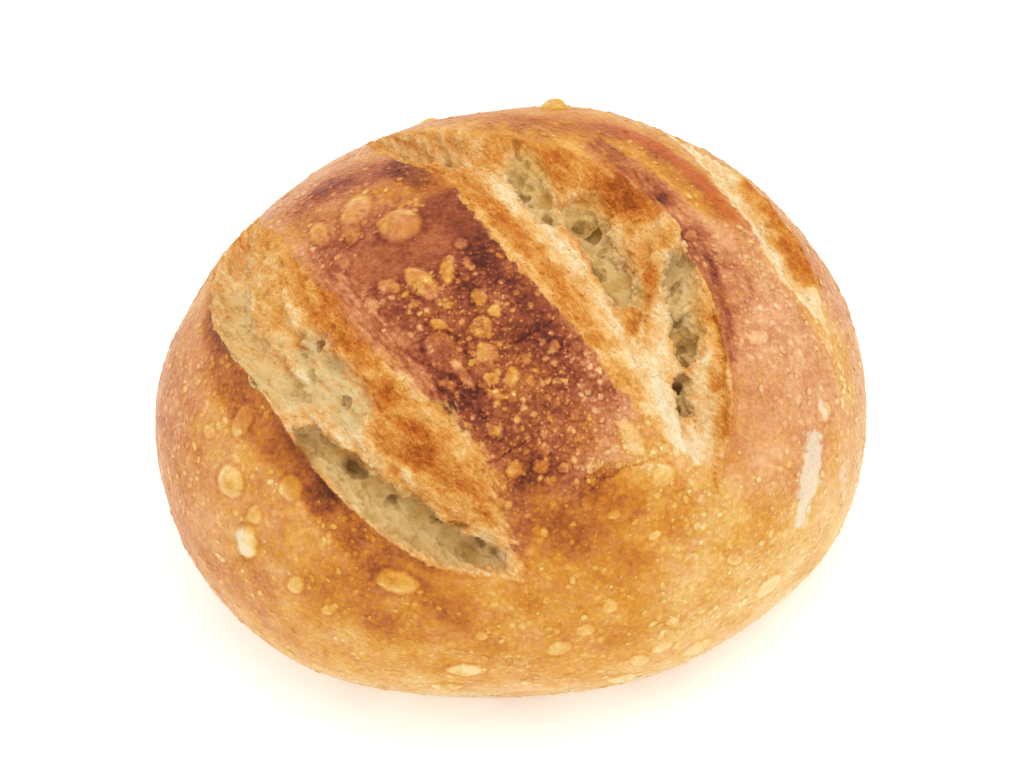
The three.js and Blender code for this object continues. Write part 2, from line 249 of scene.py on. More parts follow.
def near_slashes(body):
    """For each slash, whether each point of the body is within its reach."""
    reached = np.zeros((len(slashes), len(body)), bool)
    upper_half = np.nonzero(body[:, 2] > ring_height)[0]
    along, across = np.linspace(0, 1, 16), (0, 0.25, 0.5, 0.75, 1)
    for slash, found in zip(slashes, reached):
        edges = slash["west"], slash["east"]
        west, east = (edge[(along * (len(edge) - 1)).astype(int)] for edge in edges)
        for place in np.concatenate([west + share * (east - west) for share in across]):
            found[upper_half] |= ((body[upper_half] - place) ** 2).sum(axis=1) < slash_reach**2
    return reached


def torn_profile(slash, from_lip, from_skin, kept):
    """How far a slash raises points and draws them in from its lip, and how much of its depth it has."""
    width = np.maximum(from_lip + from_skin, 0.01)
    share = np.clip(from_lip / width, 0, 1)
    full = ease(0, full_depth_width, width)
    drop = ease(0, slash["wall"], share)
    climb = 1 - ease(slash["wall"], 1, share) ** slope_bow
    fall = slash["ear"] * kept * (1 - drop) - slash["depth"] * drop * climb
    fall -= skin_step * ease(0, 0.5, from_skin) * drop
    close = np.clip(1 + from_lip / slash["ear_width"], 0, 1)
    rise = np.where(from_lip > 0, fall, slash["ear"] * kept * close**2) * full
    # The lip curls in over the slash, and the wall under it is cut back.
    lean = ease(-2.2, 0, from_lip) * ease(0.8, 0, from_lip)
    cut_back = ease(0.3, 1.2, from_lip) * ease(3.5, 1.4, from_lip)
    curl = slash["curl"] * kept * (lean - cut_back) * full
    return np.where(from_skin > 0, rise, 0), curl * (from_skin > 0), full


def slashed(body):
    """The points near the slashes, their ragging, how far each rises and slides, and marks of each."""
    reached = near_slashes(body)
    near = np.nonzero(reached.any(axis=0))[0]
    here = body[near]
    rag = np.stack([grain(here, rag_size, 3, seed) for seed in rag_seeds], axis=1)
    ragged, clean = here + rag_height * rag, here + clean_rag_height * rag
    rise, slide = np.zeros(len(here)), np.zeros((len(here), 3))
    edge, lip, deep, fray = (np.zeros(len(here)) for _ in range(4))
    depth_in = np.full(len(here), far_outside)
    back = ease(*back_span, here[:, 1])
    for slash, found in zip(slashes, reached[:, near]):
        at = np.nonzero(found)[0]
        from_lip, _, way_in = inside(slash, clean[at])
        _, from_skin, _ = inside(slash, ragged[at])
        kept = 1 - slash["fade"] * back[at]
        raised, curl, full = torn_profile(slash, from_lip, from_skin, kept)
        rise[at] += raised
        slide[at] += way_in * curl[:, None]
        within = np.minimum(from_lip, from_skin)
        frays = [
            at_back * back[at] + at_front * (1 - back[at])
            for at_back, at_front in (slash["lip_fray"], slash["skin_fray"])
        ]
        fray[at] = np.where(within > depth_in[at], np.where(from_lip < from_skin, *frays), fray[at])
        depth_in[at] = np.maximum(depth_in[at], within)
        edge[at] = np.maximum(edge[at], (np.abs(from_lip) < edge_band) & (from_skin > -edge_band))
        edge[at] = np.maximum(edge[at], (np.abs(from_skin) < edge_band) & (from_lip > -edge_band))
        burnt = ease(-1.7, -0.1, from_lip) * ease(0.5, 0, from_lip) * full * kept
        lip[at] = np.maximum(lip[at], burnt * (from_skin > 0))
    sunk = ease(0.2, 1.4, depth_in)
    for corners, reach, depth in pockets:
        share = sunk * stroke(ragged, corners, reach, pocket_floor)
        rise -= depth * share
        if depth > 0:
            deep = np.maximum(deep, share * min(depth / 2.0, 1))
    marks = {"inside": depth_in, "torn": ease(-0.12, 0.18, depth_in), "edge": edge, "lip": lip}
    return near, rag, rise, slide, {**marks, "fray": fray, "deep": deep}


# ---- Holes in the crumb
# Gas bubbles of the crumb that the slashes tore open, mostly in the pockets under the lips. Their
# rims stand up a little, as dried skins of crumb do.
hole_rim, hole_rim_height, hole_rag_height = 0.75, 0.18, 0.3
holes = [  # lon, lat, half size across, half size along, turn, depth
    (-139, 43, 4.4, 1.6, -36, 2.2), (-129, 43, 3.2, 2, -13, 2.6), (-128, 35, 1.3, 0.8, -4, 0.8),
    (-119, 37, 1.6, 1.2, -22, 1.3), (-113, 38, 1.8, 0.6, 5, 0.8), (-108, 33, 1.4, 0.9, 2, 1),
    (-103, 33, 1.8, 1.1, -16, 1.4), (-99, 28, 1.6, 1.2, 85, 0.7), (-96, 25, 1.4, 0.8, -39, 0.4),
    (-103, 22, 1.8, 0.5, 6, 0.9), (170, 37, 5, 0.9, 31, 0.8), (-178, 43, 1.3, 0.7, 28, 0.9),
    (-164, 57, 2.3, 1.6, 30, 0.8), (-155, 59, 1.2, 0.8, 30, 1.1), (-148, 58, 3, 1.8, 2, 0.9),
    (-162, 52, 1.3, 0.7, -18, 0.6), (-151, 54, 1.9, 1.1, -34, 0.7), (160, 40, 3.2, 0.7, 48, 0.6),
    (170, 55, 1.3, 0.7, 47, 0.5), (-137, 54, 1.1, 0.8, 12, 0.7), (-150, 50, 2.5, 1.2, 16, 0.6),
    (75, 64, 1.6, 1.2, -69, 1.2), (68, 71, 1.6, 1, -44, 1), (60, 73, 1, 0.8, -62, 0.8),
    (46, 74, 1.7, 1, -36, 1), (102, 59, 3, 0.7, 78, 1.2), (29, 71, 1.7, 1.2, -14, 1.2),
    (20, 70, 1.7, 0.9, -32, 1.2), (10, 70, 1.2, 0.9, -14, 0.7), (-2, 67, 1.1, 0.6, -27, 0.8),
    (-22, 69, 2, 1.6, 43, 0.9), (-7, 72, 2.2, 1.4, -36, 0.8), (-6, 59, 1.5, 0.6, -6, 1),
    (-14, 59, 1.6, 0.9, 0, 1.2), (-24, 56, 1.5, 1.2, -36, 1.4), (-30, 53, 2.1, 1.4, -15, 1.8),
    (-42, 49, 1.8, 1.2, -4, 1.8), (-45, 45, 1.3, 0.6, 45, 1.2), (29, 37, 1.3, 0.6, 35, 0.4),
    (26, 35, 1.4, 0.6, 35, 0.4), (14, 36, 1.6, 0.7, 35, 0.4),
]


def on_spot(points, lon, lat, across, along, turn):
    """0 at the middle of an oval on the body, 1 at its rim."""
    lon, lat, turn = math.radians(lon), math.radians(lat), math.radians(turn)
    step = 0.001
    middle = body_at(lon, lat)
    east = body_at(lon + step, lat) - body_at(lon - step, lat)
    north = body_at(lon, lat + step) - body_at(lon, lat - step)
    off = points - middle
    sideways, upward = off @ east / np.linalg.norm(east), off @ north / np.linalg.norm(north)
    depth = np.linalg.norm(off, axis=1) ** 2 - sideways**2 - upward**2
    c, s = math.cos(turn), math.sin(turn)
    flat = ((sideways * c + upward * s) / across) ** 2 + ((upward * c - sideways * s) / along) ** 2
    return np.sqrt(flat + np.maximum(depth, 0) / max(across, along) ** 2)


def open_holes(points, rise, torn):
    """Sinks the holes into the torn crumb, and gives how deep in one each point is, for the painted shade in
    them.
    """
    pit = np.zeros(len(points))
    for *oval, depth in holes:
        share = on_spot(points, *oval)
        rise -= depth * (1 - ease(0.1, 1, share)) * torn
        rise += hole_rim_height * ease(hole_rim, 1, share) * ease(1.5, 1.05, share) * torn
        pit = np.maximum(pit, ease(1.0, 0.5, share) * min(depth / 1.4, 1))
    return pit


# ---- The large blisters
# Bubbles that rose under the skin in the steam of the oven and set as thin domes, most of them paler
# than the crust. The darker ring round each is painted shade, for the crease where it meets the
# skin. paleness is how much lighter they baked.
blister_top, blister_foot, blister_ruffle_size = 0.15, 1.08, 1.5
blisters = [  # lon, lat, half size across, half size along, turn, height, paleness
    (158, 75, 3.8, 3.8, 20, 1.3, 0.26), (-146, 77, 3.8, 2, 0, 0.9, 0.36), (150, 65, 4, 2.6, 10, 0.6, 0.16),
    (-149, 29, 2.8, 2.7, 0, 0.9, 0.24), (-137, 35, 2.2, 2, 70, 0.7, 0.2), (-142, 19, 2, 3, 10, 0.9, 0.42),
    (-154, 40, 1.9, 2.8, 15, 0.8, 0.14), (-114, 21, 3.7, 2.1, -10, 0.9, 0.24),
    (-104, -8, 2.9, 1.9, 0, 0.8, 0.34), (-70, 35, 4.6, 3.7, 30, 0.9, 0), (-62, 45, 1.5, 3.6, 10, 0.8, 0.2),
    (-60, 36, 2, 1.7, 0, 0.7, 0.14), (72, 42, 2.8, 2.4, 0, 1.5, 0.2), (-12, 50, 3.8, 3, 0, 0.6, 0.06),
    (100, 26, 3.4, 2.6, 30, 1, 0.2), (38, 14, 3, 2.4, -20, 0.9, 0.2), (-113, 66, 4, 2.7, -42, 0.8, 0.06),
    (132, 10, 2.6, 3.1, 15, 0.9, 0.3),
]
lesser_blisters = [
    (-139, 81, 2.7, 1.4, -47, 0.6, 0.3), (-149, 83, 1, 0.7, -34, 0.5, 0.4),
    (-171, 86, 1.2, 1.1, 9, 0.4, 0.22), (-126, 84, 1.3, 0.8, -52, 0.4, 0.24),
    (-101, 77, 1.7, 1.3, -71, 0.6, 0.28), (-90, 74, 1.2, 1.1, 88, 0.6, 0.4),
    (-98, 71, 2.1, 1.8, -73, 0.8, 0.3), (-96, 66, 2, 1.8, -21, 0.7, 0.22),
    (-120, 71, 1.6, 0.9, 6, 0.6, 0.38), (-104, 62, 3, 0.9, -52, 0.7, 0.36),
    (-157, 73, 2, 1.3, 44, 0.5, 0.26), (-153, 69, 1.9, 1.1, -8, 0.5, 0.26),
    (-138, 73, 1, 0.7, -40, 0.4, 0.3), (-120, 75, 0.8, 0.6, -53, 0.4, 0.3),
    (-94, 61, 1.3, 1.1, -8, 0.6, 0.34), (-87, 61, 1.6, 1.2, 78, 0.6, 0.32),
    (-81, 60, 0.8, 0.7, 59, 0.5, 0.4), (-68, 65, 1.4, 1, 58, 0.6, 0.3), (-80, 64, 1, 0.9, 62, 0.5, 0.22),
    (-109, 60, 1.5, 0.8, 0, 0.5, 0.3), (-93, 58, 1.4, 0.8, -27, 0.4, 0.28),
    (-94, 52, 1.4, 1.3, -85, 0.7, 0.34), (-82, 47, 1.2, 1, 66, 0.5, 0.24),
    (-90, 44, 1.5, 1.2, 80, 0.7, 0.26), (-84, 44, 1.3, 1.2, 5, 0.7, 0.3), (-79, 43, 0.9, 0.8, 0, 0.4, 0.2),
    (-73, 42, 1.2, 0.7, 67, 0.4, 0.26), (-72, 52, 1, 0.8, 46, 0.4, 0.22), (-72, 32, 1.1, 0.8, 4, 0.5, 0.3),
    (-86, 31, 0.8, 0.6, 77, 0.4, 0.4), (-80, 32, 0.5, 0.4, 56, 0.3, 0.4), (-77, 11, 1.4, 1.2, -76, 0.4, 0.1),
    (-66, 25, 1.2, 0.6, 12, 0.3, 0.24), (-76, 36, 1.4, 0.9, 45, 0.4, 0.14),
    (178, 67, 1.9, 1.2, 27, 0.4, 0.16), (162, 61, 3.3, 1.5, 35, 0.6, 0.14), (162, 67, 3, 1.6, 18, 0.5, 0.16),
    (-142, 26, 1.7, 1.4, 73, 0.5, 0.2), (-132, 14, 2, 1.4, 58, 0.5, 0.3),
    (-159, 33, 1.5, 1.2, 21, 0.4, 0.14), (-126, 10, 1.5, 1, 43, 0.4, 0.2), (-100, 6, 1.2, 1.1, 15, 0.4, 0.2),
    (-73, -12, 2.3, 1.4, -62, 0.5, 0.2), (-54, 11, 1.6, 1, -46, 0.4, 0.16), (-20, 55, 1.5, 1, 7, 0.3, 0.1),
    (-22, 43, 2, 1.3, -39, 0.5, 0.12), (-25, 23, 1.9, 1.6, -16, 0.5, 0.16), (2, 57, 1.5, 1, -38, 0.4, 0.2),
    (60, 12, 1.8, 1.4, 30, 0.5, 0.2), (84, 8, 1.5, 2, 0, 0.5, 0.2), (112, 2, 2, 1.5, 20, 0.5, 0.3),
    (150, -6, 1.6, 1.8, 50, 0.5, 0.2), (18, -4, 1.8, 1.3, 10, 0.4, 0.2), (64, -14, 1.7, 1.4, 0, 0.4, 0.3),
    (-48, -6, 2.6, 2.2, 20, 0.8, 0.24), (-62, -17, 2.8, 2, 0, 0.8, 0.2), (-76, -21, 2.6, 1.8, 0, 0.9, 0.3),
    (-108, -19, 2.6, 1.6, 0, 0.7, 0.3), (-87, 0, 2, 1.6, 30, 0.4, 0.2), (-82, 5, 1.6, 1.2, 0, 0.3, 0.2),
    (-69, -9, 1.8, 1.4, 0, 0.4, 0.2), (-67, 1, 1.2, 1, 0, 0.4, 0.3),
]


def raise_blisters(body, height, marks):
    """Domes the skin over each blister, and marks its dome, how pale it baked, and the painted shade round
    it.
    """
    for *oval, rise, paleness in blisters + lesser_blisters:
        place = body_at(*np.radians(oval[:2]))
        close = np.nonzero(np.linalg.norm(body - place, axis=1) < 2 * max(oval[2:4]) + 1)[0]
        spot = body[close]
        ruffle = np.stack([grain(spot, blister_ruffle_size, 2, seed) for seed in (3.9, 17.2, 51.6)], axis=1)
        share = on_spot(spot + min(0.3, 0.12 * oval[3] + 0.05) * ruffle, *oval)
        height[close] += rise * (1 - ease(blister_top, blister_foot, share))
        inner = ease(1.06, 0.74, share) * (0.72 + 0.28 * ease(0.2, 0.7, share))
        inner *= 0.85 + 0.7 * ruffle[:, 0]
        # The ring just outside each dome is painted shade, for the crease round it.
        foot = ease(0.85, 1.02, share) * ease(1.45, 1.05, share)
        dome = ease(1.1, 0.8, share)
        for name, value in (("pale", inner * paleness), ("dome", dome), ("foot", foot)):
            marks[name][close] = np.maximum(marks[name][close], value)
    marks["dome"] *= 1 - marks["torn"]
    marks["foot"] *= 1 - marks["torn"]


# ---- Hairline cracks
# Fine splits in the hardest, darkest crust, which opened as the roll cooled and shrank. They are no
# deeper than they are wide.
# The crust along each crack is painted darker, as shade in the split.
crack_half_width, crack_depth, crack_margin, longest_half_crack = 0.16, 0.2, 0.8, 12
cracks = [
    [(-0.5, -17.8), (1.6, -17.3), (3.4, -16.2), (5.2, -15.5), (7.4, -14)],
    [(-5, -34.1), (-3.4, -33.9), (-2.2, -33.2), (0.5, -32.1), (3, -30.8)],
    [(9.2, -37), (12.9, -36.8), (15, -35.6), (17.5, -35.2), (21.5, -33.7)],
    [(28.5, -35.1), (28.4, -36), (28.7, -37)],
]


def split_cracks(body, height, marks):
    """Sinks each crack into the crust, and marks it."""
    for corners in cracks:
        path = path_over(corners)
        middle = path.mean(axis=0)
        close = np.nonzero(np.linalg.norm(body - middle, axis=1) < longest_half_crack)[0]
        gap = np.linalg.norm(body[close, None] - path[None], axis=2).min(axis=1)
        split = ease(2 * crack_half_width, 0.3 * crack_half_width, gap)
        split = np.where(gap < crack_margin, np.maximum(split, 1e-6), 0)
        marks["crack"][close] = np.maximum(marks["crack"][close], split)
    height -= crack_depth * marks["crack"]


# ---- The crust and the torn crumb, as one closed mesh
# The solid roll: an evenly divided ball laid on the plain body and pushed into shape, then divided
# wherever its triangles came out too long for what they carry.
crust_side, frayed_side, torn_side, blister_side = 1.25, 0.85, 0.75, 0.52  # longest sides of triangles
edge_side, crack_side, base_side = 0.43, 0.24, 5.0
frayed_reach, frayed_least = 4, 0.5
side_allowance, dividing_rounds = 1.35, 5


def ball(divisions):
    """The corners and triangles of an evenly divided ball of radius 1."""
    made = bmesh.new()
    bmesh.ops.create_icosphere(made, subdivisions=divisions, radius=1)
    points = np.array([v.co[:] for v in made.verts])
    faces = np.array([[v.index for v in f.verts] for f in made.faces])
    made.free()
    return points / np.linalg.norm(points, axis=1)[:, None], faces


def divided(points, faces, wanted):
    """Splits the sides of the wanted triangles in the middle, and closes the triangles beside them."""
    sides = np.sort(faces[:, [0, 1, 1, 2, 2, 0]].reshape(-1, 2), axis=1)
    sides, index = np.unique(sides, axis=0, return_inverse=True)
    index = index.reshape(-1, 3)
    cut = np.zeros(len(sides), bool)
    cut[index[wanted]] = True
    middle = np.full(len(sides), -1)
    middle[cut] = len(points) + np.arange(cut.sum())
    halfway = points[sides[cut]].sum(axis=1)
    points = np.concatenate([points, halfway / np.linalg.norm(halfway, axis=1)[:, None]])
    mids = middle[index]
    count = (mids >= 0).sum(axis=1)
    # Each triangle is turned so that its first side is cut, and its last side isn't.
    first = np.where(count == 1, np.argmax(mids >= 0, axis=1), np.argmin(mids, axis=1) + 1)
    turn = (np.arange(3) + first[:, None]) % 3
    faces, mids = np.take_along_axis(faces, turn, 1), np.take_along_axis(mids, turn, 1)
    (a, b, c), (ab, bc, ca) = faces.T, mids.T
    one, two, three = count == 1, count == 2, count == 3
    parts = [
        (count == 0, a, b, c),
        (one, a, ab, c), (one, ab, b, c),
        (two, a, ab, c), (two, ab, b, bc), (two, ab, bc, c),
        (three, a, ab, ca), (three, ab, b, bc), (three, ca, bc, c), (three, ab, bc, ca),
    ]
    return points, np.concatenate([np.column_stack(corners)[of] for of, *corners in parts])


def out_from(points, faces):
    """The outward direction at each point of a mesh."""
    a, b, c = points[faces].transpose(1, 0, 2)
    square = np.cross(b - a, c - a)
    total = np.zeros_like(points)
    for k in range(3):
        np.add.at(total, faces[:, k], square)
    return total / np.maximum(np.linalg.norm(total, axis=1), 1e-9)[:, None]


def on_the_tray(points, body):
    """The points with the underside flat, and nothing below it."""
    points[:, 2] = np.where(body[:, 2] > 0, np.maximum(points[:, 2], 0), 0)
    return points


def shaped(directions, faces):
    """The roll's main shape over an evenly divided ball, and marks of what each point of it is."""
    lon, lat = np.arctan2(directions[:, 1], directions[:, 0]), np.arcsin(np.clip(directions[:, 2], -1, 1))
    body = body_at(lon, lat)
    kinds = ("torn", "edge", "deep", "lip", "pit", "dome", "foot", "pale", "crack", "fray")
    marks = {name: np.zeros(len(body)) for name in kinds}
    marks["inside"] = np.full(len(body), far_outside)
    height, slide = swell(body) + dented(body), np.zeros_like(body)
    near, rag, rise, slid, found = slashed(body)
    found["pit"] = open_holes(body[near] + hole_rag_height * rag, rise, found["torn"])
    height[near] += rise
    slide[near] = slid
    for name, values in found.items():
        marks[name][near] = values
    split_cracks(body, height, marks)
    raise_blisters(body, height, marks)
    outward = out_from(body, faces)
    points = body + outward * (height * ease(*relief_fade, body[:, 2]))[:, None] + slide
    return body, on_the_tray(points, body), marks


directions, faces = ball(6)
for _ in range(dividing_rounds):
    body, points, marks = shaped(directions, faces)
    limit = np.full(len(points), crust_side)
    limit[(marks["inside"] > -frayed_reach) & (marks["fray"] > frayed_least)] = frayed_side
    limit[(marks["foot"] > 0) | (marks["dome"] > 0)] = blister_side
    limit[marks["torn"] > 0] = torn_side
    limit[(marks["edge"] > 0) | (marks["deep"] > 0) | (marks["pit"] > 0)] = edge_side
    limit[marks["crack"] > 0] = crack_side
    limit[body[:, 2] <= 0] = base_side
    sides = np.linalg.norm(points[faces] - points[np.roll(faces, 1, axis=1)], axis=2).max(axis=1)
    too_long = sides > limit[faces].min(axis=1) * side_allowance
    if not too_long.any():
        break
    directions, faces = divided(directions, faces, too_long)
body, points, marks = shaped(directions, faces)

# ---- The grain of skin and crumb
# The skin is nearly smooth, drawn out into streaks beside the tears, and floury dust stayed on it here
# and there; near the heel the pale dust is partly floury dust and partly painted light on the lower
# rim. The torn crumb is craggy and felted, with pores and, deep down, open bubbles.
streak_strokes = [
    ([(-25.7, -2.2), (-21.5, -10.1), (-17.1, -17.9), (-13.2, -24.8)], 4.5, 1),
    ([(27, 30), (30.4, 24.9), (32.6, 16.5), (36.5, 9)], 4.5, 0.3),
    ([(-6, 36), (4, 31.5), (14, 26), (21, 19.5), (27, 8)], 5, 0.7),
]
flour_strokes = [  # path, reach, amount
    ([(44.4, -26.8), (43.8, -29.1), (43, -31.2)], 3.7, 1), ([(43, -31), (41.7, -34.1)], 2.4, 0.9),
    ([(-43.5, -31.4), (-43.1, -32.6)], 2.4, 0.85), ([(46.4, -20.6), (46.6, -21.8)], 1.5, 0.7),
    ([(49.2, -24.8), (49.4, -26)], 1.8, 0.5),
]
streaky = covered(body, streak_strokes, 0.5)
flour = covered(body + 0.9 * grain(body, 2.6, 2, 61)[:, None], flour_strokes, 0.2)
# Paler towards the heel: partly floury dust, partly painted light on the lower rim.
heel_dust_and_rim_light = ease(22, 5, body[:, 2]) * (0.36 + 0.3 * grain(body, 5, 3, 66))
flour = np.where(body[:, 2] > 0, np.maximum(flour, heel_dust_and_rim_light), 0)

crag_height, crag_size, felt_height, felt_size = 0.6, 2.4, 0.26, 0.9
pore_height, pore_size, bubble_height, bubble_size = 0.3, 1.9, 0.9, 3.6
tear_way, tear_stretch = np.array([0.53, -0.85, 0]), 2.4
raw_strokes = [  # path, reach, amount: thin skins of crumb that hardly toasted
    ([(-42.5, -7), (-38.3, -13.4), (-34, -17.2), (-29.5, -20), (-25.6, -23.4)], 3.4, 0.8),
    ([(-31, -10.5), (-28.9, -15), (-27, -18.3), (-24.8, -22.6)], 4.2, 1),
    ([(-46, 14), (-44, 4), (-42.6, -5)], 3, 0.5), ([(-15.5, 38), (-11, 32), (-6, 28)], 3, 0.3),
]
skin_height, skin_size, wave_height, wave_size = 0.07, 1.6, 0.1, 6
streak_height, streak_size, streak_stretch = 0.28, 1.3, 4


def cells(points, size, seed=0):
    """Distance to the nearest of a set of scattered seeds that lie about one size apart."""
    at = points / size + seed
    return np.array([noise.voronoi(p)[0][0] for p in at.tolist()])


def drawn_out(points, stretch):
    """Places drawn together along the slashes, at which grain comes out longer that way."""
    return points - (1 - 1 / stretch) * (points @ tear_way)[:, None] * tear_way


# The grain is laid on the finished shape, so that it is no coarser on steep walls.
outward = out_from(points, faces)
fine = np.zeros(len(points))
is_torn = np.nonzero(marks["torn"] > 0)[0]
crumb = points[is_torn]
rough = marks["torn"][is_torn]
threads = drawn_out(crumb, tear_stretch)
fine[is_torn] += rough * crag_height * grain(threads, crag_size, 3, 5.7)
fine[is_torn] += rough * felt_height * (1 - 2 * np.abs(grain(threads, felt_size, 3, 71.7)))
bubbles = ease(0.62, 0.18, cells(crumb + 0.5 * grain(crumb, 1.6, 2, 14.1)[:, None], bubble_size, 6.1))
raw = covered(body[is_torn] + 0.6 * grain(crumb, 2, 2, 18)[:, None], raw_strokes, 0.4)
bubbles *= np.maximum(marks["deep"][is_torn], 0.7 * raw)
fine[is_torn] -= rough * bubble_height * bubbles
pores = ease(0.45, 0.15, cells(crumb + 0.2 * grain(crumb, 0.8, 2, 3.1)[:, None], pore_size, 3.3))
pores *= 0.25 + 0.75 * marks["deep"][is_torn]
fine[is_torn] -= rough * pore_height * pores
is_skin = np.nonzero((marks["torn"] < 1) & (body[:, 2] > 0))[0]
smooth = 1 - marks["torn"][is_skin]
fine[is_skin] += smooth * wave_height * grain(points[is_skin], wave_size, 2, 9.1)
fine[is_skin] += smooth * skin_height * grain(points[is_skin], skin_size, 2, 2.2)
streaked = np.nonzero((marks["torn"] < 1) & (streaky > 0))[0]
ridges = grain(drawn_out(points[streaked], streak_stretch), streak_size, 2, 33)
fine[streaked] += streak_height * (streaky * (1 - marks["torn"]))[streaked] * ridges
points = on_the_tray(points + outward * (fine * ease(*relief_fade, body[:, 2]))[:, None], body)

# ---- How the oven browned it
# A dark band between the two great slashes, dark margins along their edges, patches of orange, and
# paler sides and heel. Each stroke of it is laid along a path on the crown.
bake_strokes = [  # path, reach, amount
    ([(-24, 18), (-17, 7), (-11, -5), (-4, -16), (3, -26), (6, -30)], 13, 0.26),
    ([(-28, 3), (-24, -5), (-19, -13), (-15, -19.5), (-11, -24)], 6, 0.13),
    ([(-9, -24), (-6.3, -30), (-3.8, -36), (-2.2, -42)], 5, 0.17),
    ([(-6.7, 7.8), (-4, 3), (0, -3.7), (4.2, -8.8), (9.5, -16.5)], 5, 0.18),
    ([(-14.6, 22.9), (-7.9, 13.8), (-2.8, 2.8), (2.1, -6.8), (7.9, -16.9), (13, -24.8)], 4.5, 0.07),
    ([(-25.2, 22.8), (-18.6, 25), (-10.9, 17.2)], 5, 0.1),
    ([(8, 31), (12, 31), (18.2, 29), (24.2, 24)], 6, 0.06),
    ([(17.6, 21.8), (21.2, 18), (23.7, 14), (25.4, 11)], 3.4, 0.34),
    ([(2, -38), (6, -42), (10, -45), (16, -46)], 7, 0.12), ([(4, -26), (9, -33)], 7, -0.08),
    ([(-4.5, 3), (-1, -3), (4, -9)], 4.5, 0.08), ([(-5, 7), (-1, -0.5)], 4, 0.08),
    ([(4, -41.4), (6, -42.8)], 3.5, 0.1), ([(-14.6, 22.5), (-10.5, 16.5), (-8, 11), (-5, 6)], 3.5, 0.17),
    ([(-25, 14), (-19, 13.7), (-13, 12.7)], 6, -0.1),
    ([(-45, 2), (-43.6, -10.8), (-38.7, -21.2), (-33.9, -28.6), (-30.5, -33.3)], 4, 0.25),
    ([(-30.5, -33.3), (-27, -38), (-22.5, -41.5), (-17, -44)], 4, 0.24),
    ([(-30.5, -41), (-25, -44.5), (-19, -46.7), (-13, -47)], 7, 0.14),
    # The second stroke here and the narrow one further down darken the skin behind the middle slash's ear:
    # browning, with painted shade for a crease behind it.
    ([(26.6, 8.5), (30.5, 3), (33, -2), (35, -6)], 5, 0.19), ([(30, 4), (32.5, -6), (33.5, -15)], 2, 0.06),
    ([(22, 29), (26, 25), (30.6, 20.2), (34.6, 13), (37.5, 7)], 3.4, 0.12),
    ([(25.4, 23), (27.7, 19.5), (31.5, 13.5), (34, 9)], 3.6, 0.19), ([(2, 33), (10, 30), (18, 28)], 6, 0.16),
    ([(0, -44), (6, -42), (14, -41), (20, -40)], 7, 0.1),
    ([(15, -32), (19, -35), (24.6, -37.3), (29, -37.6)], 7, -0.12),
    ([(11.8, -37.8), (14.8, -38.6)], 4.4, 0.12), ([(34.5, 8), (38.5, 0), (41, -7), (41.5, -14)], 8, -0.08),
    # A thin dark line behind the middle slash's ear: browning, with painted shade for a crease behind it.
    ([(31.9, -1), (32.9, -7.2), (33.6, -13.2), (33.4, -19)], 1.1, 0.2),
    ([(35, 29.5), (41.5, 21.5), (44.6, 15.5), (47.8, 7.5)], 1.9, 0.13),
    ([(39, 25), (43, 18.5), (46, 12)], 1.7, 0.12),
    ([(44, 3), (47.5, -4), (50.5, -9), (51.5, -14)], 5, -0.12),
    ([(20, -46), (30, -44), (38, -39), (44, -33)], 9, -0.06),
]
bake_patches = [  # lon, lat, reach, amount
    (-45, -8, 34, -0.15), (-20, -5, 30, -0.1), (0, 40, 24, 0.04), (-5, 5, 26, -0.06), (160, 5, 30, -0.06),
]
bake = 0.20 + 0.19 * ease(4, 28, body[:, 2])
bake += laid(body, bake_strokes) + patched(body, bake_patches) + 0.1 * grain(body, 8, 4, 31)
bake = np.where(body[:, 2] > 0, bake, 0.56)
bake += 0.16 * marks["lip"]

# Where the crust turned red rather than golden.
rosy_strokes = [
    ([(-24, 10), (-17, 2), (-11, -8), (-4, -18), (3, -26), (8, -32)], 13, 0.7),
    ([(-28, 3), (-24, -5), (-19, -13), (-15, -19.5), (-11, -24)], 7, 0.9),
    ([(-9, -24), (-6.3, -30), (-3.8, -36), (-2.2, -42)], 5, 0.5),
    ([(-6.7, 7.8), (-4, 3), (0, -3.7), (4.2, -8.8), (9.5, -16.5), (15, -25)], 7, 0.9),
    ([(-34, 20), (-28, 22), (-22, 24), (-16, 24)], 8, 0.9),
    ([(36.8, -13.5), (42, -19.3), (37.8, -28.7)], 14, 0.5),
    ([(17.6, 21.8), (21.2, 18), (25.8, 10.3), (30.4, 3), (34, -3)], 5, 0.6),
    ([(-34, 26), (-28, 30), (-22, 33)], 6, 1), ([(-10, 41), (-2, 40), (6, 38)], 6, 0.9),
]
golden_strokes = [  # path, reach, amount: where it stayed golden after all
    ([(2, 37), (10, 33), (18, 29.5), (25, 26)], 9, 0.95),
    ([(22.5, 23.8), (26.6, 18.3), (30, 14.4), (32.6, 10.1)], 3, 0.9),
    ([(20, 31), (23.4, 28), (27, 24), (30.6, 20.2), (33.6, 15), (36, 10.5)], 3.6, 0.8),
    ([(33.5, 31), (37, 27), (41.5, 21.5), (44.6, 15.5), (47.8, 7.5), (49, 1)], 2.6, 0.9),
    ([(44, 3), (47.5, -4), (50.5, -9), (51.5, -14)], 5, 0.7), ([(11.8, -37.8), (14.8, -38.6)], 4.4, 0.6),
]
rosy_patches = [(178, 12, 34, 1.0), (0, 35, 40, 0.8), (205, 0, 44, 0.5), (-12, 0, 40, 0.25)]
rosy = 0.25 * grain(body, 9, 2, 77) + laid(body, rosy_strokes) + patched(body, rosy_patches)
rosy = np.clip(rosy, 0, 1.2)
for corners, reach, amount in golden_strokes:
    share = amount * stroke(body, corners, reach)
    rosy = rosy * (1 - share) - 0.28 * share

# Where it glazed to a clear amber.
amber_strokes = [  # path, reach, amount
    ([(21, 29), (24.6, 26.6), (28.4, 22.6), (31.6, 18.6), (34.2, 14), (36.4, 9.8)], 3, 0.85),
    ([(-4, 39), (4, 37), (12, 33.5), (20, 30), (24, 27)], 6, 0.35),
]
amber = covered(body + 0.7 * grain(body, 2.6, 2, 91)[:, None], amber_strokes, 0.3)

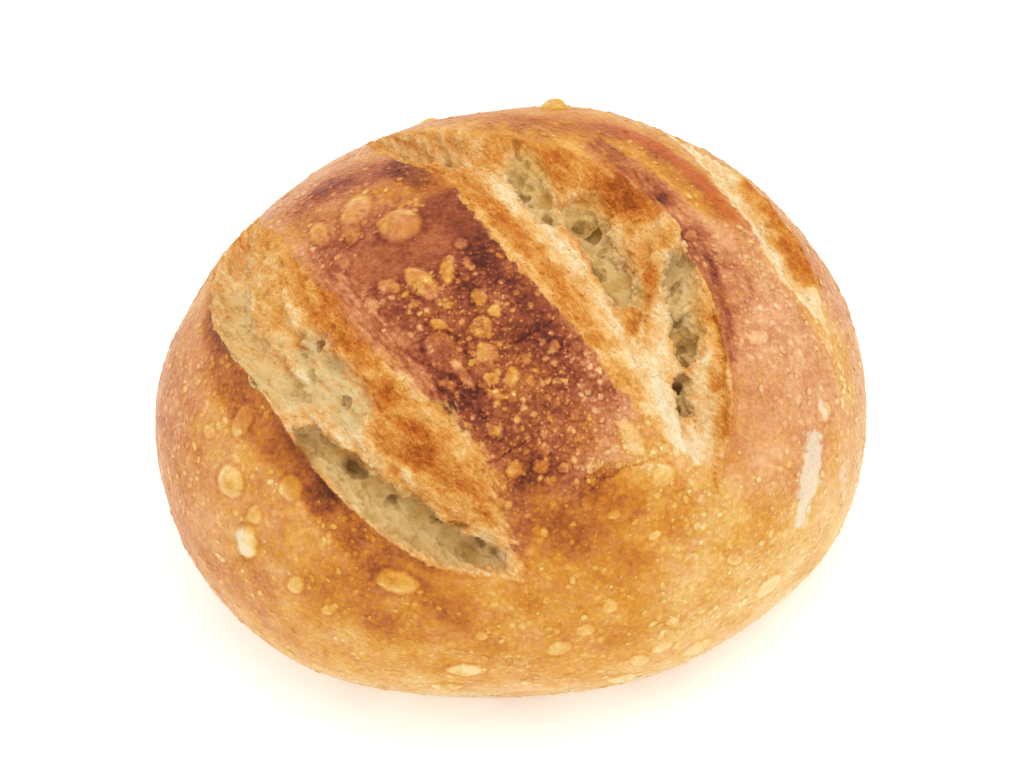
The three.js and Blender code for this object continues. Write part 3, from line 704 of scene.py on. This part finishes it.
# How the torn crumb toasted: most along the skin edges and the ears, hardly at all down the middle.
toast_strokes = [
    ([(-43, 12), (-41, -2), (-37, -12), (-32, -20), (-26, -27)], 8, -0.07),
    ([(-32.2, -14.5), (-27.5, -16.7), (-25.4, -19)], 3.4, -0.1), ([(-35.4, -17.9), (-32.6, -17.4)], 3, -0.1),
    ([(-26, -21.4), (-23.8, -25.8)], 3, -0.1), ([(-32.3, -8.6), (-31.1, -10.4)], 2.2, 0.3),
    ([(-28.6, 1), (-26.7, -7.6), (-23.4, -16.4), (-19.6, -25.1), (-14.9, -31.5), (-9.1, -39.1)], 5.5, 0.28),
    ([(-18.8, -32.1), (-16.4, -31.3), (-14.2, -32.1)], 2.4, 0.14),
    ([(-30.7, -23.3), (-26.3, -26.9), (-23.5, -30.3)], 1.8, -0.1), ([(-36, 18), (-32, 9)], 4, 0.14),
    ([(-18, 36), (-12, 27), (-7.7, 20.1), (-1.8, 13), (3.7, 2.6), (9, -6.4), (14, -16.7)], 4, 0.2),
    ([(-1.8, 13), (3.7, 2.6), (9, -6.4), (14, -16.7), (18.9, -26.6)], 2.2, 0.06),
    ([(1.6, 19), (6, 8.5), (10.6, -0.5), (13.7, -9.5), (17, -17), (21.3, -22.2), (25, -31)], 4.1, -0.2),
    ([(25.9, -2.2), (24.8, -9.7), (23.7, -16.8), (23, -23.2), (23, -29), (25.7, -33.6)], 2.4, -0.2),
    ([(29.8, -20), (29.4, -25), (28.4, -30), (27.4, -33.6)], 2.2, -0.2),
    ([(3, 30), (9.2, 23.9), (15.9, 18.2), (20.6, 12)], 6, 0.28), ([(20.6, 13), (23.6, 8)], 4.2, 0.3),
    ([(32.3, -8.7), (32.1, -14.5), (31.1, -20), (30.6, -23.5)], 1.6, 0.34),
    ([(31.4, -25), (30.6, -30)], 1, 0.2),
    ([(24, -2.9), (23.2, -5.5), (22.2, -8.4), (20.8, -10.3), (18.9, -14.6)], 1.9, 0.24),
    ([(31, 31), (36.5, 20.5), (41, 9.5), (44.2, 1.5), (47.3, -4.5)], 5, -0.3),
    ([(40.4, 20.4), (43.2, 15.3), (46.1, 7.7), (47.8, 1.3)], 2, 0.3),
    ([(-17.6, -33.8), (-14.2, -35.6), (-10.8, -38), (-7.8, -41.2), (-5, -44.2)], 2.1, -0.22),
    ([(23, -33), (25.7, -33.8), (27.4, -32.3)], 3, -0.08),
]
toast_reach = 5  # past the edges, where the fraying can still bring crumb
by_tear = np.nonzero(marks["inside"] > -toast_reach)[0]
toasted = body[by_tear]
# The crumb is painted darker in the hollows of its crags and paler on their tops: painted shade of the
# relief.
toast = 0.46 + 0.10 * grain(toasted, 4, 3, 55) - 0.22 * fine[by_tear] * marks["torn"][by_tear]
toast += laid(toasted + 0.6 * grain(toasted, 2, 2, 8)[:, None], toast_strokes)
toast -= 0.35 * marks["deep"][by_tear]

# Where the skin is covered in small bubbles: all over the dark band and the flanks, few in front, and
# none on the smooth patch at the crown's left.
pebbly_patches = [
    (-150, 76, 30, 0.5), (-90, 62, 34, 0.6), (-60, 52, 26, 0.5), (0, 30, 40, 0.35), (180, 20, 40, 0.2),
]
smooth_patch, smooth_reach = [(-18.5, 1.5), (-15, 1), (-10, 3.5), (-6, 8)], 7
pebbly = 0.45 + 0.3 * grain(body, 10, 3, 13) + patched(body, pebbly_patches)
pebbly *= (1 - 0.6 * streaky) * (1 - 0.45 * marks["dome"])
is_smooth = stroke(body + 1.2 * grain(body, 5, 2, 21)[:, None], smooth_patch, smooth_reach, 0.6)
pebbly *= 1 - 0.92 * is_smooth
bake += (0.745 + 0.009 * (body[:, 0] + 13) - bake) * 0.88 * is_smooth
rosy += (0.95 - rosy) * is_smooth

# ---- The finished roll
# Its points, centred and scaled down where they would leave the part's own box, with what each of them
# is and how it browned as attributes, which the bread's material and the small lumps read.
MM = 0.001


def on_part(part, values):
    """Values of a part of the points, with 0 for the rest."""
    whole = np.zeros(len(body))
    whole[part] = values
    return whole


low, high = points.min(axis=0), points.max(axis=0)
cad_low, cad_high = np.array(cad_box[0]) / MM, np.array(cad_box[1]) / MM
points -= [*((low + high) / 2)[:2], 0]
points *= np.minimum((cad_high - cad_low) / (high - low), 1)

# Small blisters stay off the places where they would stand out of that box or reach the tray.
tray_clearance = 0.8
room = np.minimum(points - cad_low, cad_high - points)
room[:, 2] = np.minimum(points[:, 2] - tray_clearance, cad_high[2] - points[:, 2])
blistered = ease(0.3, 1.0, room.min(axis=1)) * (marks["inside"] < -0.4 - 0.8 * marks["fray"])
blistered *= 1 - 0.7 * marks["dome"]
blistered *= 0.45 + 0.55 * ease(-0.3, 0.4, grain(points, 9, 3, 60))
paint = {
    "inside": marks["inside"], "fray": marks["fray"], "deep": marks["deep"], "pit": marks["pit"],
    "crack": marks["crack"], "foot": marks["foot"], "pale": marks["pale"],
    "bake": np.clip(bake, 0, 1), "rosy": np.clip(rosy, -0.3, 1.3),
    "toast": on_part(by_tear, np.clip(toast, 0, 1)),
    "pore": on_part(is_torn, np.maximum(pores, 0.6 * bubbles) * rough), "raw": on_part(is_torn, raw),
    "streaky": streaky, "flour": flour, "amber": amber,
    "pebbly": np.clip(pebbly, 0, 1.3), "blistered": blistered * np.clip(pebbly, 0, 1),
    "gritty": ease(0.3, 1.0, marks["torn"]) * (1 - 0.85 * marks["deep"]) * (marks["edge"] <= 0),
}

crust_mesh = bpy.data.meshes.new("crust_and_crumb")
crust_mesh.from_pydata((points * MM).tolist(), [], faces.tolist())
for name, values in paint.items():
    crust_mesh.attributes.new(name, "FLOAT", "POINT").data.foreach_set("value", values)
crust_mesh.shade_smooth()
crust = bpy.data.objects.new("crust_and_crumb", crust_mesh)
bpy.context.scene.collection.objects.link(crust)

# ---- Baked bread
# Wheat crust that browned from cream over gold or rose to dark brown, with a faint sheen, and matt
# crumb that toasted from cream to orange. One material for all of the roll, led by its attributes.


def tone(red, green, blue):
    """A colour from 0 to 255, as the shader takes it."""
    shares = [c / 255 for c in (red, green, blue)]
    return (*[((c + 0.055) / 1.055) ** 2.4 if c > 0.04 else c / 12.92 for c in shares], 1)


class Nodes:
    """A short way to write a material's or a tree's nodes."""

    def __init__(self, tree):
        self.tree = tree

    def add(self, kind, inputs=(), **settings):
        node = self.tree.nodes.new(kind)
        for name, value in settings.items():
            setattr(node, name, value)
        for name, value in dict(inputs).items():
            if isinstance(value, bpy.types.NodeSocket):
                self.tree.links.new(value, node.inputs[name])
            else:
                node.inputs[name].default_value = value
        return node

    def mark(self, name):
        return self.add("ShaderNodeAttribute", attribute_name=name).outputs["Fac"]

    def math(self, operation, a, b=0.0, c=0.0):
        return self.add("ShaderNodeMath", {0: a, 1: b, 2: c}, operation=operation).outputs[0]

    def times(self, a, b):
        return self.math("MULTIPLY", a, b)

    def total(self, *values):
        whole = values[0]
        for value in values[1:]:
            whole = self.math("ADD", whole, value)
        return whole

    def spread(self, value, low, high, to_low=0.0, to_high=1.0):
        inputs = {"Value": value, "From Min": low, "From Max": high, "To Min": to_low, "To Max": to_high}
        node = self.add("ShaderNodeMapRange", inputs, interpolation_type="SMOOTHSTEP")
        return node.outputs["Result"]

    def place(self, seed=0.0):
        where = self.add("ShaderNodeTexCoord").outputs["Object"]
        return self.add("ShaderNodeMapping", {"Vector": where, "Location": (seed, seed, seed)}).outputs[0]

    def noise(self, size, swing=1.0, detail=3.0, rough=0.6, seed=0.0):
        """Noise round 0 on the object's own coordinates, whose largest lumps are size metres across."""
        return self.swung(self.place(seed), 1 / size, swing, detail, rough)

    def swung(self, where, scale, swing, detail, rough):
        inputs = {"Vector": where, "Scale": scale, "Detail": detail, "Roughness": rough}
        value = self.add("ShaderNodeTexNoise", inputs).outputs[0]
        return self.math("MULTIPLY_ADD", value, 2 * swing, -swing)

    def streaks(self, size, stretch, swing=1.0, detail=3.0, rough=0.6, seed=0.0):
        """Noise round 0, drawn out along the slashes."""
        turned = self.add("ShaderNodeMapping", {
            "Vector": self.place(seed), "Rotation": (0, 0, math.radians(58)),
        }).outputs[0]
        drawn = self.add("ShaderNodeMapping", {
            "Vector": turned, "Scale": (1 / (size * stretch), 1 / size, 1 / size),
        }).outputs[0]
        return self.swung(drawn, 1.0, swing, detail, rough)

    def ramp(self, value, stops):
        node = self.add("ShaderNodeValToRGB", {"Fac": value})
        elements = node.color_ramp.elements
        for place, _ in stops[1:-1]:
            elements.new(place)
        for element, (place, colour) in zip(elements, stops):
            element.position, element.color = place, tone(*colour)
        return node.outputs["Color"]

    def mix(self, share, a, b):
        return self.add("ShaderNodeMix", {0: share, 6: a, 7: b}, data_type="RGBA").outputs[2]


golden = [
    (0, (235, 209, 152)), (0.2, (226, 184, 108)), (0.35, (216, 159, 69)), (0.5, (204, 135, 42)),
    (0.65, (187, 112, 36)), (0.8, (155, 83, 31)), (1, (92, 42, 20)),
]
rose = [
    (0, (238, 204, 162)), (0.2, (229, 179, 134)), (0.35, (218, 159, 112)), (0.5, (202, 134, 86)),
    (0.65, (178, 102, 62)), (0.8, (146, 72, 42)), (1, (88, 38, 26)),
]
toasting = [
    (0, (240, 221, 180)), (0.2, (234, 199, 142)), (0.4, (226, 171, 98)), (0.55, (214, 149, 68)),
    (0.7, (200, 123, 48)), (0.85, (184, 99, 34)), (1, (152, 76, 28)),
]


# The pale cream tone is floury dust, and near the heel also painted light on the lower rim.
glazed, flour_and_rim_light_tone = (188, 86, 24), (231, 217, 190)
# raw_crumb is the raw skins' own colour; the other three are painted shade in the crumb's pockets, pores and
# holes.
raw_crumb, pocket_shade = (218, 192, 136), (206, 168, 92)
pore_shade, hole_shade = (160, 120, 56), (142, 98, 40)
pebble_size, small_pebble_size = 0.0013, 0.0006


def pebbles(n, size, seed):
    """Small bubbles that touch: two numbers of its own for each, its top, and the crease round it."""
    shift = n.add("ShaderNodeTexNoise", {"Vector": n.place(seed), "Scale": 0.7 / size, "Detail": 2})
    bend = {0: shift.outputs["Color"], 1: (size * 0.9,) * 3, 2: n.place(seed)}
    bent = n.add("ShaderNodeVectorMath", bend, operation="MULTIPLY_ADD").outputs[0]
    whole = n.add("ShaderNodeTexVoronoi", {"Vector": bent, "Scale": 1 / size})
    chance = n.add("ShaderNodeSeparateColor", {"Color": whole.outputs["Color"]}).outputs
    gap = whole.outputs["Distance"]
    return chance["Red"], chance["Green"], n.spread(gap, 0.55, 0.15), n.spread(gap, 0.35, 0.75)


def crust_looks(n):
    """The crust's colour and the height of its fine relief."""
    pebbly = n.mark("pebbly")
    chance, hue, top, crease = pebbles(n, pebble_size, 0.1)
    small_chance, _, small_top, small_crease = pebbles(n, small_pebble_size, 0.5)
    # The crease round each bubble darkens the crust: painted shade between the bubbles.
    bubble = n.total(
        n.times(n.times(n.spread(chance, 0.60, 0.95), top), -0.34),
        n.times(crease, 0.07),
        n.times(n.times(n.spread(small_chance, 0.55, 0.95), small_top), -0.22),
        n.times(small_crease, 0.05),
        0.05,
    )
    # The level is raised round the blisters' feet and along the cracks: painted shade in these creases.
    level = n.total(
        n.mark("bake"), n.noise(0.0045, 0.22, 3, 0.62), n.noise(0.0008, 0.21, 2, 0.7, 0.3),
        n.times(n.mark("pale"), -1.0), n.times(n.mark("foot"), 0.09),
        n.times(bubble, pebbly), n.times(n.mark("crack"), 0.16),
        n.times(n.streaks(0.0011, 4.0, 0.5, 3, 0.6, 0.4), n.mark("streaky")),
    )
    tint = n.total(
        n.mark("rosy"), n.noise(0.006, 0.3, 3, 0.6, 0.8),
        n.times(n.math("SUBTRACT", hue, 0.5), 0.5), n.times(n.mark("pale"), -2.2),
        n.times(bubble, 1.2),
    )
    skin = n.mix(tint, n.ramp(level, golden), n.ramp(level, rose))
    glaze = n.math("MULTIPLY_ADD", n.noise(0.0016, 0.5, 3, 0.6, 0.1), 0.8, 0.9)
    skin = n.mix(n.times(n.mark("amber"), glaze), skin, tone(*glazed))
    # Floury dust pales the skin to cream; near the heel this is partly painted light on the lower rim.
    flour = n.spread(n.total(n.mark("flour"), n.noise(0.0012, 0.6, 3, 0.65, 0.6)), 0.2, 0.8, 0.0, 0.74)
    skin = n.mix(flour, skin, tone(*flour_and_rim_light_tone))
    height = n.total(
        n.noise(0.0010, 0.5, 2, 0.7, 0.2), n.times(n.times(crease, pebbly), -0.5),
        n.times(n.times(small_crease, pebbly), -0.3),
    )
    return skin, height


def crumb_looks(n):
    """The torn crumb's colour and the height of its fine relief."""
    felt = n.streaks(0.0013, 2.8, 1.0, 3, 0.66, 0.9)
    strands = n.math("ABSOLUTE", n.streaks(0.0011, 2.6, 1.0, 1, 0.6, 0.5))
    # felt also sets the relief: the crumb is painted darker in its hollows, and the raw skins stay pale on
    # its ridges, as painted shade.
    fleck = n.total(
        n.mark("toast"), n.times(felt, 0.32), n.noise(0.0032, 0.16, 2, 0.6, 0.35),
        n.noise(0.0004, 0.14, 1, 0.6, 0.2), n.spread(strands, 0.12, 0.0, 0.02, -0.12),
    )
    crumb = n.ramp(fleck, toasting)
    crumb = n.mix(n.times(n.mark("raw"), n.spread(felt, 0.5, -0.3)), crumb, tone(*raw_crumb))
    # Painted shade: the crumb is darker in its pockets, pores and holes.
    for label, share, colour in (
        ("deep", 0.72, pocket_shade), ("pore", 0.40, pore_shade), ("pit", 0.5, hole_shade),
    ):
        crumb = n.mix(n.times(n.mark(label), share), crumb, tone(*colour))
    return crumb, n.times(felt, -1.2)


def torn_open(n):
    """0 on the crust and 1 on the crumb, with a frayed border between the two."""
    fray = n.mark("fray")
    ragged = n.times(fray, n.streaks(0.0013, 4.0, 1.5, 3, 0.6, 0.15))
    ragged = n.total(n.mark("inside"), ragged, n.noise(0.0006, 0.2, 2, 0.6, 0.7))
    torn = n.math("DIVIDE", ragged, n.math("MULTIPLY_ADD", fray, 0.6, 0.22))
    return n.spread(torn, -0.5, 0.5)


def baked_bread(name):
    """Crust outside the slashes, crumb inside them."""
    material = bpy.data.materials.new(name)
    material.use_nodes = True
    material.node_tree.nodes.clear()
    n = Nodes(material.node_tree)
    skin, skin_relief = crust_looks(n)
    crumb, crumb_relief = crumb_looks(n)
    torn, open_crumb = torn_open(n), n.spread(n.mark("inside"), -0.3, 0.3)
    height = n.add("ShaderNodeMix", {0: open_crumb, 2: skin_relief, 3: crumb_relief}).outputs[0]
    bump = n.add("ShaderNodeBump", {"Height": height, "Distance": 0.0003, "Strength": 0.8})
    shader = n.add("ShaderNodeBsdfPrincipled", {
        "Base Color": n.mix(torn, skin, crumb), "Roughness": n.spread(torn, 0, 1, 0.46, 0.85),
        "Normal": bump.outputs[0], "Specular IOR Level": 0.1,
        "Subsurface Weight": 0.2, "Subsurface Radius": (1.0, 0.5, 0.2), "Subsurface Scale": 0.0008,
        "Sheen Weight": 0.1, "Sheen Roughness": 0.25,
    })
    n.add("ShaderNodeOutputMaterial", {"Surface": shader.outputs[0]})
    return material


bread = baked_bread("baked_bread")
crust_mesh.materials.append(bread)
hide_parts("bread_roll")
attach(crust, "root")

# ---- Small blisters and crumb grit
# Bubbles of 0.4 to 1.3 mm that rose in the skin where it is pebbly, and grains of crumb of 0.3 to
# 0.7 mm that stand on the torn slopes. Both are of the roll's own dough, baked onto it.


def scatter(name, segments, rings):
    """A tree that sets small lumps on a surface, close by an attribute, each of its own size and turn."""
    tree = bpy.data.node_groups.new(name, "GeometryNodeTree")
    n, face = Nodes(tree), tree.interface
    face.new_socket("Geometry", in_out="INPUT", socket_type="NodeSocketGeometry")
    for label in ("Smallest", "Largest", "Rise", "Stretch", "Spacing", "Density"):
        face.new_socket(label, in_out="INPUT", socket_type="NodeSocketFloat")
    face.new_socket("Density By", in_out="INPUT", socket_type="NodeSocketString")
    face.new_socket("Material", in_out="INPUT", socket_type="NodeSocketMaterial")
    face.new_socket("Geometry", in_out="OUTPUT", socket_type="NodeSocketGeometry")
    given = n.add("NodeGroupInput").outputs

    def chance(low, high, seed):
        return n.add("FunctionNodeRandomValue", {2: low, 3: high, 8: seed}, data_type="FLOAT").outputs[1]

    def stored(geometry, label, value, domain="POINT"):
        return n.add("GeometryNodeStoreNamedAttribute", {
            "Geometry": geometry, "Name": label, "Value": value,
        }, data_type="FLOAT", domain=domain).outputs[0]

    def read(label):
        return n.add("GeometryNodeInputNamedAttribute", {0: label}, data_type="FLOAT").outputs[0]

    where = read(given["Density By"])
    spots = n.add("GeometryNodeDistributePointsOnFaces", {
        "Mesh": given["Geometry"], "Distance Min": given["Spacing"], "Density Max": given["Density"],
        "Density Factor": where, "Seed": 7,
    }, distribute_method="POISSON")
    round_lump = {"Segments": segments, "Rings": rings, "Radius": 1.0}
    lump = n.add("GeometryNodeMeshUVSphere", round_lump).outputs[0]
    up = n.add("ShaderNodeSeparateXYZ", {0: n.add("GeometryNodeInputPosition").outputs[0]}).outputs["Z"]
    lump = stored(lump, "top", up)
    spread = n.math("POWER", chance(0.0, 1.0, 1), 2.2)
    size = n.add("ShaderNodeMapRange", {"Value": spread, "To Min": given["Smallest"],
                                        "To Max": given["Largest"]}).outputs[0]
    longer = n.times(size, chance(1.0, given["Stretch"], 2))
    scale = n.add("ShaderNodeCombineXYZ", {0: longer, 1: size, 2: n.times(size, given["Rise"])})
    spin = n.add("FunctionNodeAxisAngleToRotation", {0: (0, 0, 1), 1: chance(0.0, math.tau, 3)})
    turn = n.add("FunctionNodeRotateRotation", {0: spots.outputs["Rotation"], 1: spin.outputs[0]},
                 rotation_space="LOCAL")
    placed = n.add("GeometryNodeInstanceOnPoints", {
        "Points": spots.outputs["Points"], "Instance": lump, "Rotation": turn.outputs[0],
        "Scale": scale.outputs[0],
    })
    placed = stored(placed.outputs[0], "own", chance(0.0, 1.0, 4), "INSTANCE")
    whole = n.add("GeometryNodeRealizeInstances", {0: placed}).outputs[0]
    wobble = n.add("ShaderNodeTexNoise", {"Scale": 900.0, "Detail": 1.0}).outputs["Color"]
    wobble = n.add("ShaderNodeVectorMath", {0: wobble, 1: (0.5, 0.5, 0.5)}, operation="SUBTRACT").outputs[0]
    reach = n.times(given["Smallest"], 0.9)
    wobble = n.add("ShaderNodeVectorMath", {0: wobble, "Scale": reach}, operation="SCALE").outputs[0]
    whole = n.add("GeometryNodeSetPosition", {"Geometry": whole, "Offset": wobble}).outputs[0]
    # Each lump is darker towards its base: painted shade in the crease round it.
    pale = n.times(n.spread(read("top"), 0.15, 0.75), n.math("MULTIPLY_ADD", read("own"), 0.28, 0.02))
    for label, value in (("pale", pale), ("foot", n.spread(read("top"), 0.4, 0.1))):
        whole = stored(whole, label, value)
    whole = n.add("GeometryNodeSetShadeSmooth", {0: whole}).outputs[0]
    whole = n.add("GeometryNodeSetMaterial", {0: whole, "Material": given["Material"]}).outputs[0]
    n.add("NodeGroupOutput", {0: whole})
    return tree


def set_on(surface, tree, name, values):
    """The pieces that a tree sets on a surface, as a plain mesh."""
    holder = bpy.data.objects.new(name, surface)
    bpy.context.scene.collection.objects.link(holder)
    setter = holder.modifiers.new(name, "NODES")
    setter.node_group = tree
    for socket in tree.interface.items_tree:
        if socket.in_out == "INPUT" and socket.name in values:
            setter[socket.identifier] = values[socket.name]
    bpy.context.view_layer.update()
    shaped_holder = holder.evaluated_get(bpy.context.evaluated_depsgraph_get())
    made = bpy.data.meshes.new_from_object(shaped_holder)
    made.name = name
    bpy.data.objects.remove(holder)
    piece = bpy.data.objects.new(name, made)
    bpy.context.scene.collection.objects.link(piece)
    return piece


small_blisters = set_on(crust_mesh, scatter("small_blisters", 7, 5), "small_blisters", {
    "Smallest": 0.0002, "Largest": 0.00066, "Rise": 0.3, "Stretch": 1.7, "Spacing": 0.00085,
    "Density": 600000.0, "Density By": "blistered", "Material": bread,
})
crumb_grit = set_on(crust_mesh, scatter("crumb_grit", 6, 4), "crumb_grit", {
    "Smallest": 0.00014, "Largest": 0.00036, "Rise": 0.55, "Stretch": 2.2, "Spacing": 0.0008,
    "Density": 2000000.0, "Density By": "gritty", "Material": bread,
})
for piece in (small_blisters, crumb_grit):
    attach(piece, "root")

# ---- Floor, light and camera
# A plain pale floor under soft white studio light, with one broad lamp above it, looked down on from
# the front.
floor_mesh = bpy.data.meshes.new("floor")
floor_mesh.from_pydata([(-3, -3, 0), (3, -3, 0), (3, 3, 0), (-3, 3, 0)], [], [(0, 1, 2, 3)])
floor = bpy.data.objects.new("floor", floor_mesh)
bpy.context.scene.collection.objects.link(floor)
floor_material = bpy.data.materials.new("pale_floor")
floor_material.use_nodes = True
plain = floor_material.node_tree.nodes["Principled BSDF"]
plain.inputs["Base Color"].default_value = (0.96, 0.96, 0.96, 1)
plain.inputs["Roughness"].default_value = 0.9
plain.inputs["Emission Color"].default_value = (1, 1, 1, 1)
plain.inputs["Emission Strength"].default_value = 0.24
floor_mesh.materials.append(floor_material)

world = bpy.data.worlds.new("studio")
world.use_nodes = True
world.node_tree.nodes["Background"].inputs["Color"].default_value = (1, 1, 1, 1)
world.node_tree.nodes["Background"].inputs["Strength"].default_value = 1.0
bpy.context.scene.world = world
light_place, light_aim = Vector((0.15, -0.05, 0.8)), Vector((0, 0, 0.03))
lamp = bpy.data.lights.new("key", "AREA")
lamp.shape, lamp.size, lamp.energy = "DISK", 0.7, 2.0
key = bpy.data.objects.new("key", lamp)
bpy.context.scene.collection.objects.link(key)
turn = (light_aim - light_place).to_track_quat("-Z", "Y").to_matrix().to_4x4()
key.matrix_world = Matrix.Translation(light_place) @ turn

camera_height_angle, camera_distance, camera_roll = math.radians(50), 0.6, math.radians(6.2)
camera_aim = Vector((0.0007, -0.0013, 0.028))
camera = bpy.data.cameras.new("camera")
camera.sensor_width, camera.lens = 36, 132.5
tilt = Matrix.Rotation(math.pi / 2 - camera_height_angle, 4, "X")
back = Matrix.Translation((-0.00016, 0.0008, camera_distance))
roll = Matrix.Rotation(-camera_roll, 4, "Z")
view = bpy.data.objects.new("camera", camera)
bpy.context.scene.collection.objects.link(view)
view.matrix_world = Matrix.Translation(camera_aim) @ tilt @ back @ roll
bpy.context.scene.camera = view
bpy.context.scene.view_settings.view_transform = "Standard"
